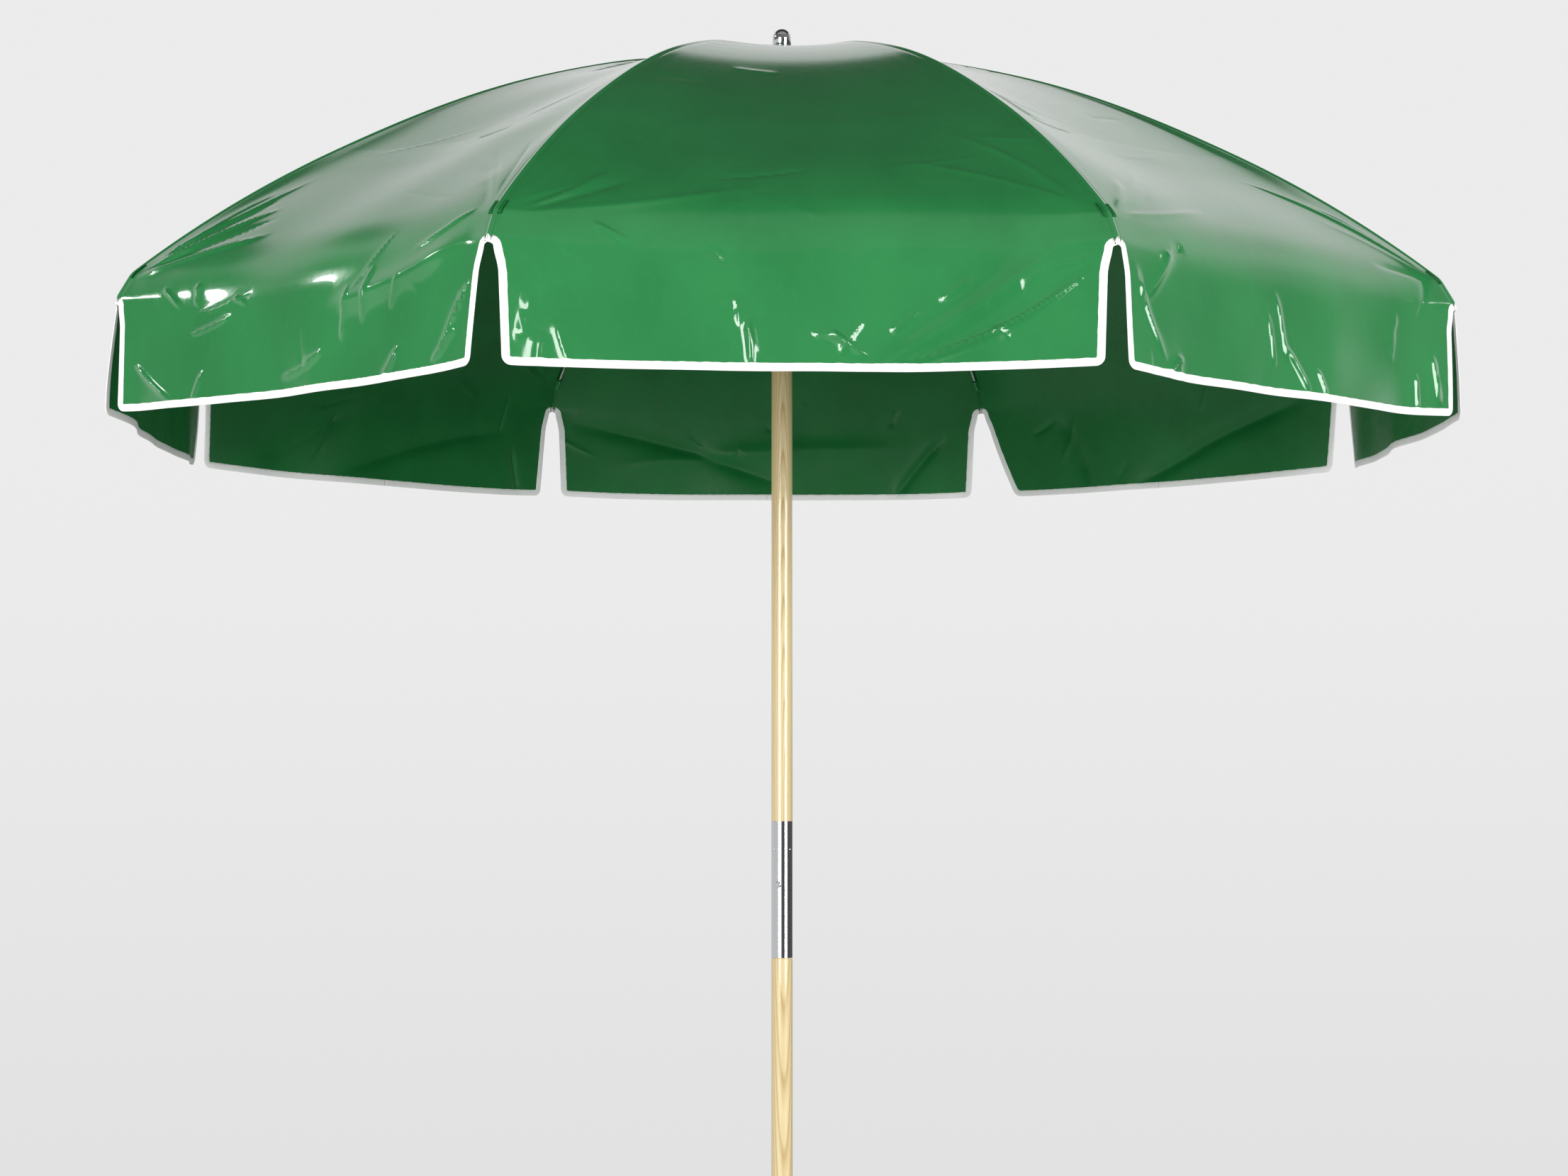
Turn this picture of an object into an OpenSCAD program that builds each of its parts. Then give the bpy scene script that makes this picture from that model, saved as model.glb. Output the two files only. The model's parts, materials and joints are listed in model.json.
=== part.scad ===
// Beach umbrella: a vinyl canopy with a hanging valance, on a folding frame of eight ribs,
// eight stretchers and a sliding runner, on a wooden pole that comes apart at a metal sleeve.
// Millimetres, +Z up. The origin is on the pole's axis, at the pole's lower end.

/* [Pole] */
// Diameter of the pole and of the metal sleeve that joins its two halves
pole_d = 36; // [35:0.5:38]
// Height from the pole's lower end to the top of the finial
overall_h = 2438; // [2420:2:2480]
// Height of the sleeve's lower edge
ferrule_z = 837; // [800:1:850]
// Length of the sleeve
ferrule_h = 232; // [225:1:250]
// Height of the snap button above the sleeve's lower edge
button_rise = 124; // [110:1:140]
// Diameter of the snap button
button_d = 11; // [9:0.5:11]
// Length of the taper at the pole's lower end
taper_h = 70; // [40:5:100]
// Height of the finial
finial_h = 40; // [36:1:46]

/* [Frame] */
// Radius of the ring of rib pivots, and of the ring of stretcher pivots
hub_r = 30; // [29:0.5:31]
// Diameter of a rib's rod
rib_d = 4.4; // [4:0.1:4.8]
// Diameter of a stretcher's rod
stretcher_d = 3.8; // [3.4:0.1:4.2]
// Radius at which the stretchers hold the ribs
clip_r = 600; // [560:5:640]
// Length of the metal sleeve on a rib's end
tip_len = 42; // [30:1:50]

/* [Canopy] */
// Radius of the canopy where the roof turns down, measured at a rib
bend_r = 1128; // [1110:1:1140]
// Radius of the arc that each rib is bent to
roof_arc_r = 1970; // [1900:10:2100]
// Slope of the canopy at the ring of rib pivots
hub_slope = 4.7; // [4:0.1:6]
// Height of the hem
hem_z = 1720; // [1700:1:1760]
// Thickness of the vinyl
cloth_t = 1.2; // [1:0.1:1.4]

/* [Hidden] */
RIBS = 8;
SECTOR = 360 / RIBS;
HALF = SECTOR / 2;
CLEAR = 0.3;
rib_ids = [1 : RIBS];
function numbered(name) = [for (i = rib_ids) str(name, "_", i)];
$fn = 96;
ARC_FN = 720;
WIRE_FN = 32;

// Pole and sleeve
pole_r = pole_d / 2;
ferrule_t = 1.2;
spigot_r = pole_r - ferrule_t;
spigot_play = 0.06;
ferrule_top = ferrule_z + ferrule_h;
joint_z = ferrule_top - 66;
shoulder_z = ferrule_z - 2;
foot_r = 7;
button_z = ferrule_z + button_rise;
button_azimuth = -114;
button_r = button_d / 2;
button_flange_r = button_r + 1.5;
button_proud = 3;
button_flange_x = 13.2;
button_flange_t = 1.8;
button_well_x = 2.4;
spring_wire_r = 0.5;
spring_turns = 5;
dimple_r = 2.6;
dimple_depth = 0.8;
dimple_rows = [[-16, -72], [-48, -43.6]];

// Top of the pole
finial_z = overall_h - finial_h;
patch_top = finial_z - CLEAR;
pole_top = patch_top - cloth_t;
stud_r = 4;
stud_in_pole = 20;
stud_in_finial = 18;
skirt_r = 23.5;
bullet_r = 16;

// Arc of the roof in a rib's own upright plane, with slopes counted from level
hub_z = overall_h - 50;
arc_x = hub_r - roof_arc_r * sin(hub_slope);
arc_z = hub_z - roof_arc_r * cos(hub_slope);
function slope_at(r, arc_r) = asin((r - arc_x) / arc_r);
function on_arc(slope, arc_r) = [arc_x + arc_r * sin(slope), arc_z + arc_r * cos(slope)];
function turn_for(len, arc_r) = len / arc_r * 180 / PI;

// Ribs, with the pivots on a wire ring in the crown
rib_r = rib_d / 2;
rib_arc_r = roof_arc_r - cloth_t - 2.2 - rib_r;
pivot_slope = slope_at(hub_r, rib_arc_r);
pivot_z = on_arc(pivot_slope, rib_arc_r)[1];
wire_r = 1.25;
eye_r = 3.3;
eye_w = 4;
eye_bore_r = wire_r + 0.2;
rib_end_slope = slope_at(bend_r - 12, rib_arc_r);
tip_r = 3.4;

// Clips that hold the stretchers under the ribs
clip_slope = slope_at(clip_r, rib_arc_r);
clip_drop = 14;
clip_len = 18;
cheek_t = 1.2;
cheek_y = rib_r + 0.1;
clip_pin_r = 1.4;
mid = on_arc(clip_slope, rib_arc_r - clip_drop);
clip_on_rib = on_arc(clip_slope, rib_arc_r);

// A stretcher is as long as the rib's chord to its clip, so the runner travels straight
chord = norm([mid[0] - hub_r, pivot_z - mid[1]]);
open_angle = atan2(mid[0] - hub_r, pivot_z - mid[1]);
runner_z = 2 * mid[1] - pivot_z;

// Crown and runner
slot_w = eye_w + 1.2;
slot_floor_r = 25.5;
crown_r = 37;
crown_down = 16;
crown_up = 2;
crown_pin_r = 2;
crown_pin_z = pivot_z - 11;
runner_r = 36;
runner_up = 9;
runner_down = 12;
sleeve_r = 22.5;
sleeve_len = 58;
runner_bottom = runner_z - runner_down - sleeve_len;

// Catch that holds the open runner up
catch_h = 50;
catch_t = 3;
catch_proud = 4;
catch_top = runner_bottom - 0.5;
catch_in = 6;
catch_pin = [10, catch_top - catch_h + 7];
catch_pin_r = 1.5;
catch_pin_len = 2 * sqrt(pole_r * pole_r - pow(catch_pin[0] + catch_pin_r, 2)) - 1;

// Canopy sectors, one on each rib, cut at the middle of each panel. The halves meet at the rib's seam
seam_gap = 0.5;
rib_seam_gap = 0.3;
sector_in_r = 34;
drop = [bend_r + 24, hem_z + 178];
hem_r = bend_r + 34;
belly_r = bend_r + 31;
roof_steps = 16;
bend_slope = slope_at(bend_r, roof_arc_r);
lip_slope = 59;
patch_r = 36;
notch_top_w = 30;
notch_hem_w = 52;
canopy_reach = 1400;

module at_rib(i) {
    rotate([0, 0, -90 - HALF + SECTOR * i]) children();
}

module at_button() {
    rotate([0, 0, button_azimuth]) translate([0, 0, button_z]) rotate([0, 90, 0]) children();
}

// A ring lying level, of round wire
module wire_ring(ring_r, wire) {
    rotate_extrude($fn = 192) translate([ring_r, 0]) circle(r = wire, $fn = WIRE_FN);
}

// A round bar along the arc of a rib, between two slopes
module arc_bar(from_slope, to_slope, r) {
    translate([arc_x, 0, arc_z]) rotate([90, 0, 0]) rotate([0, 0, 90 - to_slope])
        rotate_extrude(angle = to_slope - from_slope, $fn = ARC_FN)
            translate([rib_arc_r, 0]) circle(r = r, $fn = WIRE_FN);
}

// A cylinder that lies along Y, centred at [x, z] of the upright plane
module cross_pin(at, r, len) {
    translate([at[0], 0, at[1]]) rotate([90, 0, 0]) cylinder(r = r, h = len, center = true, $fn = 48);
}

function helix_ring(k, steps, coil_r, wire, pitch) = [
    for (a = [0 : 60 : 300])
        [
            (coil_r + wire * cos(a)) * cos(k * 360 / steps),
            (coil_r + wire * cos(a)) * sin(k * 360 / steps),
            wire * sin(a) + pitch * k / steps
        ]
];

// A coil spring along Z
module coil(coil_r, wire, len, turns) {
    sides = 6;
    steps = 16;
    rings = steps * turns;
    pitch = (len - 2 * wire) / turns;
    points = [for (k = [0 : rings]) each helix_ring(k, steps, coil_r, wire, pitch)];
    walls = [
        for (k = [0 : rings - 1], s = [0 : sides - 1])
            [
                k * sides + s,
                (k + 1) * sides + s,
                (k + 1) * sides + (s + 1) % sides,
                k * sides + (s + 1) % sides
            ]
    ];
    first_end = [[for (s = [0 : sides - 1]) s]];
    last_end = [[for (s = [sides - 1 : -1 : 0]) rings * sides + s]];
    translate([0, 0, wire]) polyhedron(points, concat(first_end, last_end, walls), convexity = 8);
}

module lower_pole() {
    color("burlywood")
    difference() {
        union() {
            cylinder(r1 = foot_r, r2 = pole_r, h = taper_h);
            translate([0, 0, taper_h]) cylinder(r = pole_r, h = shoulder_z - taper_h);
            translate([0, 0, shoulder_z]) cylinder(r1 = pole_r, r2 = spigot_r, h = ferrule_z - shoulder_z);
            cylinder(r = spigot_r - spigot_play, h = joint_z - 0.5);
        }
        at_button() translate([0, 0, button_well_x]) cylinder(r = button_flange_r + 0.2, h = pole_r);
    }
}

module snap_button() {
    color("gainsboro")
    at_button() {
        translate([0, 0, button_flange_x]) cylinder(r = button_flange_r, h = button_flange_t);
        translate([0, 0, button_flange_x])
            cylinder(r = button_r, h = pole_r + button_proud - 1 - button_flange_x);
        translate([0, 0, pole_r + button_proud - 1]) cylinder(r1 = button_r, r2 = button_r - 1, h = 1);
    }
}

module button_spring() {
    color("silver")
    at_button() translate([0, 0, button_well_x + 0.1])
        coil(button_r - 1.5, spring_wire_r, button_flange_x - button_well_x - 0.2, spring_turns);
}

module upper_pole() {
    color("burlywood")
    difference() {
        union() {
            translate([0, 0, joint_z]) cylinder(r = spigot_r, h = ferrule_top - joint_z);
            translate([0, 0, ferrule_top]) cylinder(r = pole_r, h = pole_top - ferrule_top);
        }
        translate([0, 0, pole_top - stud_in_pole]) cylinder(r = stud_r, h = stud_in_pole + 1);
        cross_pin([0, crown_pin_z], crown_pin_r, pole_d + 2);
        cross_pin(catch_pin, catch_pin_r, pole_d + 2);
        translate([1, -catch_t / 2 - CLEAR, catch_top - catch_h - 1.5])
            cube([pole_r, catch_t + 2 * CLEAR, catch_h + 3]);
    }
}

module ferrule() {
    color("silver")
    difference() {
        translate([0, 0, ferrule_z]) cylinder(r = pole_r, h = ferrule_h);
        translate([0, 0, ferrule_z - 1]) cylinder(r = spigot_r, h = ferrule_h + 2);
        at_button() cylinder(r = button_r + 0.25, h = pole_d);
        for (row = dimple_rows, quarter = [0 : 90 : 270])
            rotate([0, 0, row[1] + quarter])
                translate([pole_r + dimple_r - dimple_depth, 0, ferrule_top + row[0]])
                    sphere(r = dimple_r, $fn = 48);
    }
}

module finial() {
    flare = skirt_r - bullet_r;
    dome_z = finial_h - bullet_r;
    outline = concat(
        [[0, 0], [skirt_r, 0]],
        [for (a = [15 : 15 : 90]) [skirt_r - flare * sin(a), 1 + flare * (1 - cos(a))]],
        [for (a = [0 : 7.5 : 82.5]) [bullet_r * cos(a), dome_z + bullet_r * sin(a)]],
        [[0, finial_h]]
    );
    color("gainsboro")
    difference() {
        translate([0, 0, finial_z]) rotate_extrude() polygon(outline);
        translate([0, 0, finial_z - 1]) cylinder(r = stud_r, h = stud_in_finial + 1);
    }
}

module finial_stud() {
    color("dimgray")
    translate([0, 0, pole_top - stud_in_pole])
        cylinder(r = stud_r, h = stud_in_pole + finial_z - pole_top + stud_in_finial);
}

// Round patch that closes the canopy's peak, under the finial
module top_patch() {
    edge_z = on_arc(slope_at(patch_r, roof_arc_r), roof_arc_r)[1] + CLEAR;
    color("darkgreen")
    rotate_extrude() polygon([
        [stud_r + 0.2, pole_top],
        [pole_r + 1, pole_top],
        [patch_r, edge_z],
        [patch_r, edge_z + cloth_t],
        [pole_r + 2, patch_top],
        [stud_r + 0.2, patch_top]
    ]);
}

// Slots around a hub, one for each rib or stretcher
module hub_slots(from_z, to_z) {
    for (i = rib_ids)
        at_rib(i) translate([slot_floor_r, -slot_w / 2, from_z]) cube([crown_r, slot_w, to_z - from_z]);
}

module crown() {
    color("silver")
    difference() {
        translate([0, 0, pivot_z - crown_down]) cylinder(r = crown_r, h = crown_down + crown_up);
        translate([0, 0, pivot_z - crown_down - 1]) cylinder(r = pole_r, h = crown_down + crown_up + 2);
        hub_slots(pivot_z - crown_down - 1, pivot_z + crown_up + 1);
        translate([0, 0, pivot_z]) wire_ring(hub_r, wire_r);
        cross_pin([0, crown_pin_z], crown_pin_r, 4 * crown_r);
    }
}

module crown_wire() {
    color("gainsboro")
    translate([0, 0, pivot_z]) wire_ring(hub_r, wire_r);
}

module crown_pin() {
    color("dimgray")
    cross_pin([0, crown_pin_z], crown_pin_r, 2 * crown_r - 2);
}

// Sprung catch in a slot of the pole: the runner rests on its top edge
module top_catch() {
    top_x = pole_r + catch_proud;
    color("gainsboro")
    difference() {
        translate([0, catch_t / 2, 0]) rotate([90, 0, 0]) linear_extrude(height = catch_t)
            polygon([
                [catch_in, catch_top - catch_h],
                [pole_r - 1, catch_top - catch_h],
                [top_x, catch_top - 7],
                [top_x, catch_top],
                [catch_in, catch_top]
            ]);
        cross_pin(catch_pin, catch_pin_r + 0.05, catch_t + 2);
    }
}

module catch_pin() {
    color("dimgray")
    cross_pin(catch_pin, catch_pin_r, catch_pin_len);
}

module runner() {
    color("silver")
    difference() {
        union() {
            translate([0, 0, runner_z - runner_down]) cylinder(r = runner_r, h = runner_down + runner_up);
            translate([0, 0, runner_bottom]) cylinder(r = sleeve_r, h = sleeve_len);
        }
        translate([0, 0, runner_bottom - 1])
            cylinder(r = pole_r + CLEAR, h = sleeve_len + runner_down + runner_up + 2);
        hub_slots(runner_z - eye_r - 1.5, runner_z + runner_up + 1);
        translate([0, 0, runner_z]) wire_ring(hub_r, wire_r);
    }
}

module runner_wire() {
    color("gainsboro")
    translate([0, 0, runner_z]) wire_ring(hub_r, wire_r);
}

// Saddle round the rib with two cheeks and a rivet that the stretcher turns on
module rib_clip() {
    half_turn = turn_for(clip_len / 2, rib_arc_r);
    difference() {
        arc_bar(clip_slope - half_turn, clip_slope + half_turn, cheek_y + cheek_t);
        arc_bar(clip_slope - half_turn - 1, clip_slope + half_turn + 1, rib_r + 0.05);
        translate([clip_on_rib[0], 0, clip_on_rib[1]]) rotate([0, clip_slope, 0])
            translate([0, 0, -4]) cube([clip_len + 2, 2 * cheek_y, 6], center = true);
    }
    for (side = [-1, 1])
        translate([mid[0], side * (cheek_y + cheek_t / 2), mid[1]]) rotate([90, clip_slope, 0])
            linear_extrude(height = cheek_t, center = true) {
                circle(r = 4, $fn = 48);
                translate([-4, 0]) square([8, clip_drop]);
            }
    cross_pin(mid, clip_pin_r, 2 * (cheek_y + cheek_t) + 1.6);
}

module rib(i) {
    start_slope = pivot_slope + turn_for(2.4, rib_arc_r);
    color("silver")
    at_rib(i) {
        difference() {
            union() {
                cross_pin([hub_r, pivot_z], eye_r, eye_w);
                arc_bar(start_slope, rib_end_slope, rib_r);
            }
            cross_pin([hub_r, pivot_z], eye_bore_r, eye_w + 2);
        }
        rib_clip();
    }
}

// Metal sleeve with a round end, on the end of a rib
module rib_tip(i) {
    end = on_arc(rib_end_slope + turn_for(3, rib_arc_r), rib_arc_r);
    color("gainsboro")
    at_rib(i)
    difference() {
        union() {
            arc_bar(rib_end_slope - turn_for(tip_len, rib_arc_r),
                rib_end_slope + turn_for(3, rib_arc_r), tip_r);
            translate([end[0], 0, end[1]]) sphere(r = tip_r, $fn = WIRE_FN);
        }
        arc_bar(rib_end_slope - turn_for(tip_len + 2, rib_arc_r), rib_end_slope + turn_for(0.1, rib_arc_r),
            rib_r + 0.1);
    }
}

module stretcher(i) {
    runner_eye = [hub_r, runner_z];
    span = mid - runner_eye;
    rise = atan2(span[1], span[0]);
    trim = 2.6;
    color("silver")
    at_rib(i)
    difference() {
        union() {
            cross_pin(runner_eye, eye_r, eye_w);
            cross_pin(mid, eye_r, eye_w);
            translate([runner_eye[0], 0, runner_eye[1]]) rotate([0, 90 - rise, 0])
                translate([0, 0, trim])
                    cylinder(r = stretcher_d / 2, h = norm(span) - 2 * trim, $fn = WIRE_FN);
        }
        cross_pin(runner_eye, eye_bore_r, eye_w + 2);
        cross_pin(mid, clip_pin_r + 0.08, eye_w + 2);
    }
}

// Half of a sector on the +Y side of its rib: the outline is given in the rib's plane,
// and each panel is curved in one direction only, so it is an extrusion across the panel
module half_sector(outline) {
    squeezed = [for (p = outline) [p[0] * cos(HALF), p[1]]];
    from_y = rib_seam_gap / 2;
    shift = seam_gap / 2 / cos(HALF);
    intersection() {
        rotate([0, 0, HALF]) rotate([90, 0, 0]) linear_extrude(height = canopy_reach / 2)
            polygon(squeezed);
        translate([0, 0, hem_z - 10]) linear_extrude(height = overall_h - hem_z)
            polygon([
                [(from_y + shift) / tan(HALF), from_y],
                [canopy_reach, from_y],
                [canopy_reach, canopy_reach * tan(HALF) - shift]
            ]);
    }
}

module sector(outline) {
    half_sector(outline);
    mirror([0, 1, 0]) half_sector(outline);
}

// Roof of one sector, from the peak to the lip where the valance begins
module canopy(i) {
    in_slope = slope_at(sector_in_r, roof_arc_r);
    slopes = [for (k = [0 : roof_steps]) in_slope + (bend_slope - in_slope) * k / roof_steps];
    lip_in = [drop[0] - cloth_t * sin(lip_slope), drop[1]];
    color("green")
    at_rib(i) sector(concat(
        [for (s = slopes) on_arc(s, roof_arc_r)],
        [drop, lip_in],
        [for (k = [roof_steps : -1 : 0]) on_arc(slopes[k], roof_arc_r - cloth_t)]
    ));
}

// Two half flaps that hang from one sector, with the notch below the rib between them
module valance(i) {
    top_z = drop[1] - CLEAR;
    belly_z = drop[1] - 60;
    color("seagreen")
    at_rib(i)
    difference() {
        sector([
            [drop[0], top_z],
            [belly_r, belly_z],
            [hem_r, hem_z],
            [hem_r - cloth_t, hem_z],
            [belly_r - cloth_t, belly_z],
            [drop[0] - cloth_t, top_z]
        ]);
        translate([bend_r / 2, 0, 0]) rotate([90, 0, 90]) linear_extrude(height = bend_r)
            polygon([
                [-notch_hem_w / 2, hem_z - 1],
                [notch_hem_w / 2, hem_z - 1],
                [notch_top_w / 2, drop[1] - 20],
                [notch_top_w / 2, drop[1] + 1],
                [-notch_top_w / 2, drop[1] + 1],
                [-notch_top_w / 2, drop[1] - 20]
            ]);
    }
}

lower_pole();
snap_button();
button_spring();
upper_pole();
ferrule();
finial();
finial_stud();
top_patch();
crown();
crown_wire();
crown_pin();
top_catch();
catch_pin();
runner();
runner_wire();
for (i = rib_ids) {
    rib(i);
    rib_tip(i);
    stretcher(i);
    canopy(i);
    valance(i);
}
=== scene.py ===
"""Looks of the beach umbrella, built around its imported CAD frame.

The canopy is one function of a place on a panel. Each of its pieces is a closed shell cut out of that
surface, so that the pieces meet without a gap or a kink. Metres, with +Z up.
"""
import json
import math

import bpy
import numpy as np
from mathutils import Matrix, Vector


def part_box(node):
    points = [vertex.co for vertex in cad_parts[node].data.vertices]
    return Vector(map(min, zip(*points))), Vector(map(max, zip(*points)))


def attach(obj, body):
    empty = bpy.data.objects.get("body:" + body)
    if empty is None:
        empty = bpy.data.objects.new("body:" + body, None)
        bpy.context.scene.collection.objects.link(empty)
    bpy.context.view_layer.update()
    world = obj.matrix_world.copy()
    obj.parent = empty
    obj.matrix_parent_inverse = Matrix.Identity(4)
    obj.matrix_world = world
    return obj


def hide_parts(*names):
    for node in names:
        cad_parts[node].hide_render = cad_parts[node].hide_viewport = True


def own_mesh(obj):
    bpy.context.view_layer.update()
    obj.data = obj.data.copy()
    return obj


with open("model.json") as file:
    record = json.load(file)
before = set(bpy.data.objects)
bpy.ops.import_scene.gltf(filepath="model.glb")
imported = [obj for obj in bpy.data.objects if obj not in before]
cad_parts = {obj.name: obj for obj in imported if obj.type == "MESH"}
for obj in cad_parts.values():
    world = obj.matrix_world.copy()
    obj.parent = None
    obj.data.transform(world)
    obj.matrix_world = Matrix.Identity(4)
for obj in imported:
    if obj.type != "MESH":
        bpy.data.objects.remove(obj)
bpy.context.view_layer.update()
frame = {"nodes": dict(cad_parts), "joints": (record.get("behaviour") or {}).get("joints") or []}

MM = 0.001
RIBS = 8
SECTOR = 2 * math.pi / RIBS
HALF = SECTOR / 2
FRONT = -math.pi / 2

joints = {j["name"]: j for j in frame["joints"]}
hub_pivot = Vector(joints["rib_1_fold"]["pos_m"])
lip_pivot = Vector(joints["valance_1_hang"]["pos_m"])
HUB_R = hub_pivot.xy.length
LIP_R = lip_pivot.xy.length
LIP_Z = lip_pivot.z
HEM_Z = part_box("valance_1")[0].z
PATCH_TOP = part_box("top_patch")[1].z
POLE_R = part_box("upper_pole")[1].x

# Profile of the canopy along a rib, measured outwards along the cloth from the sector's inner edge.
# ROD_DEPTH is how far a rib's middle line lies below the cloth's outside, and TURN_HALF is half the
# length over which the cloth changes its slope at the bend and at the lip
INNER_R = 34 * MM
ARC_R = 1970 * MM
HUB_SLOPE = math.radians(4.7)
BEND_R = 1128 * MM
HEM_R = 1162 * MM
ROD_DEPTH = 5.6 * MM
CLOTH_OVER_PIVOT = 5.65 * MM
CLOTH = 0.8 * MM
PATCH_CLOTH = 0.7 * MM
TURN_HALF = 10 * MM

arc_x = HUB_R - ARC_R * math.sin(HUB_SLOPE)


def arc_slope(r):
    """Slope of the roof's arc at a radius, in radians below level."""
    return math.asin((r - arc_x) / ARC_R)


ARC_TOP_Z = hub_pivot.z + CLOTH_OVER_PIVOT
slope_in = arc_slope(INNER_R)
slope_bend = arc_slope(BEND_R)
arc_z = ARC_TOP_Z - ARC_R * math.cos(arc_slope(HUB_R))
bend_z = arc_z + ARC_R * math.cos(slope_bend)
top_z = arc_z + ARC_R * math.cos(slope_in)
slope_lip = math.atan2(bend_z - LIP_Z, LIP_R - BEND_R)
slope_flap = math.atan2(LIP_Z - HEM_Z, HEM_R - LIP_R)
B_BEND = ARC_R * (slope_bend - slope_in)
B_LIP = B_BEND + math.hypot(bend_z - LIP_Z, LIP_R - BEND_R)
B_HEM = B_LIP + math.hypot(LIP_Z - HEM_Z, HEM_R - LIP_R)
NOTCH_BELOW_LIP = 8 * MM
B_NOTCH = B_LIP + NOTCH_BELOW_LIP

# Between the ribs the cloth turns down in one wide curve, sags a little and hangs lower at the hem
MID_TURN_WIDTH = 190 * MM
MID_TURN_SHIFT = 22 * MM
SAG = 24 * MM
LIFT = 7.5 * MM
HEM_DROP = 10 * MM


def smooth(x, low=0.0, high=1.0):
    """0 below low, 1 above high, and a smooth step between them."""
    t = np.clip((x - low) / (high - low), 0, 1)
    return t * t * (3 - 2 * t)


def make_profile(slopes):
    """Radius and height along a profile whose slope is given at each place."""
    step = np.diff(B_TABLE)
    middle = (slopes[1:] + slopes[:-1]) / 2
    run = np.concatenate([[0], np.cumsum(np.cos(middle) * step)])
    fall = np.concatenate([[0], np.cumsum(np.sin(middle) * step)])
    r = INNER_R + run - np.interp(0, B_TABLE, run)
    z = top_z - fall + np.interp(0, B_TABLE, fall)
    return r, z


B_TABLE = np.linspace(-5 * MM, B_HEM + 60 * MM, 1500)
arc_slopes = slope_in + np.minimum(B_TABLE, B_BEND) / ARC_R
rib_slopes = (
    arc_slopes
    + (slope_lip - slope_bend) * smooth(B_TABLE, B_BEND - TURN_HALF, B_BEND + TURN_HALF)
    + (slope_flap - slope_lip) * smooth(B_TABLE, B_LIP - TURN_HALF, B_LIP + TURN_HALF)
)
mid_turn = B_BEND + MID_TURN_SHIFT
mid_slopes = arc_slopes + (slope_flap + math.radians(0.6) - slope_bend) * smooth(
    B_TABLE, mid_turn - MID_TURN_WIDTH / 2, mid_turn + MID_TURN_WIDTH / 2
)
RIB_R, RIB_Z = make_profile(rib_slopes)
MID_R, MID_Z = make_profile(mid_slopes)
B_HEM_MID = float(np.interp(-(HEM_Z - HEM_DROP), -MID_Z, B_TABLE))


def half_width(b):
    """Half of a panel's width at a place along its profile."""
    return np.interp(b, B_TABLE, RIB_R) * math.sin(HALF)


def hem_at(v):
    """Profile length of the hem, where v is 0 at the middle of a panel and 1 at a rib."""
    return B_HEM_MID + (B_HEM - B_HEM_MID) * np.abs(v) ** 3


# ---------------------------------------------------------------------------------------------------
# Creases and waves of one panel: a runs across it and b down it


def ridge(a, b, start, end, width, height, bow=0.03):
    """A crease from one place to another, bowed by a share of its length, fading at both ends."""
    (a0, b0), (a1, b1) = start, end
    length = math.hypot(a1 - a0, b1 - b0)
    ua, ub = (a1 - a0) / length, (b1 - b0) / length
    along = ((a - a0) * ua + (b - b0) * ub) / length
    bend = bow * length * np.sin(math.pi * np.clip(along, 0, 1))
    across = (a - a0) * ub - (b - b0) * ua + bend
    fade = smooth(along, -0.05, 0.25) * smooth(1 - along, -0.05, 0.3)
    return height * fade / (1 + (across / width) ** 2) ** 1.5


def wave(a, b, wavelength, angle, phase, height):
    """A regular wave over the cloth, whose crests run square to an angle."""
    k = 2 * math.pi / wavelength
    return height * np.sin(k * (a * math.cos(angle) + b * math.sin(angle)) + phase)


def panel_features(g):
    """The random creases and waves of panel g, as a list of functions of a and b."""
    rng = np.random.default_rng(100 + g)
    features = []
    for _ in range(5):
        long_wave = dict(
            wavelength=rng.uniform(0.26, 0.62),
            angle=rng.uniform(0, math.pi),
            phase=rng.uniform(0, 6.3),
            height=rng.uniform(0.5, 0.9) * MM,
        )
        features.append(lambda a, b, w=long_wave: wave(a, b, **w))
    for side in (-1, 1):
        for _ in range(6):
            turn = math.radians(rng.uniform(8, 75))
            reach = rng.uniform(0.12, 0.38)
            from_a = side * (float(half_width(B_BEND)) - rng.uniform(0.008, 0.03))
            from_b = B_BEND - rng.uniform(-0.01, 0.02)
            crease = dict(
                start=(from_a, from_b),
                end=(
                    from_a - side * reach * math.sin(turn),
                    from_b - reach * math.cos(turn) * 0.9,
                ),
                width=rng.uniform(5, 13) * MM,
                height=rng.uniform(-2.3, 2.8) * MM,
            )
            features.append(lambda a, b, c=crease: ridge(a, b, **c))
    for _ in range(7):
        at = (rng.uniform(-0.3, 0.3), rng.uniform(0.35, 1.12))
        turn = rng.uniform(-0.6, 0.6)
        reach = rng.uniform(0.08, 0.3)
        fold = dict(
            start=at,
            end=(at[0] + reach * math.cos(turn), at[1] + reach * math.sin(turn)),
            width=rng.uniform(6, 11) * MM,
            height=rng.uniform(-1.0, 1.1) * MM,
        )
        features.append(lambda a, b, c=fold: ridge(a, b, **c))
    for _ in range(9):
        at = (rng.uniform(-0.38, 0.38), rng.uniform(B_LIP - 0.03, B_HEM - 0.02))
        turn = rng.uniform(-1.4, -0.2) if rng.random() < 0.5 else rng.uniform(0.2, 1.4)
        reach = rng.uniform(0.03, 0.13)
        crumple = dict(
            start=at,
            end=(at[0] + reach * math.cos(turn), at[1] + reach * math.sin(turn)),
            width=rng.uniform(4.5, 8) * MM,
            height=rng.uniform(-2.8, 3.4) * MM,
        )
        features.append(lambda a, b, c=crumple: ridge(a, b, **c))
    return features


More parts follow.
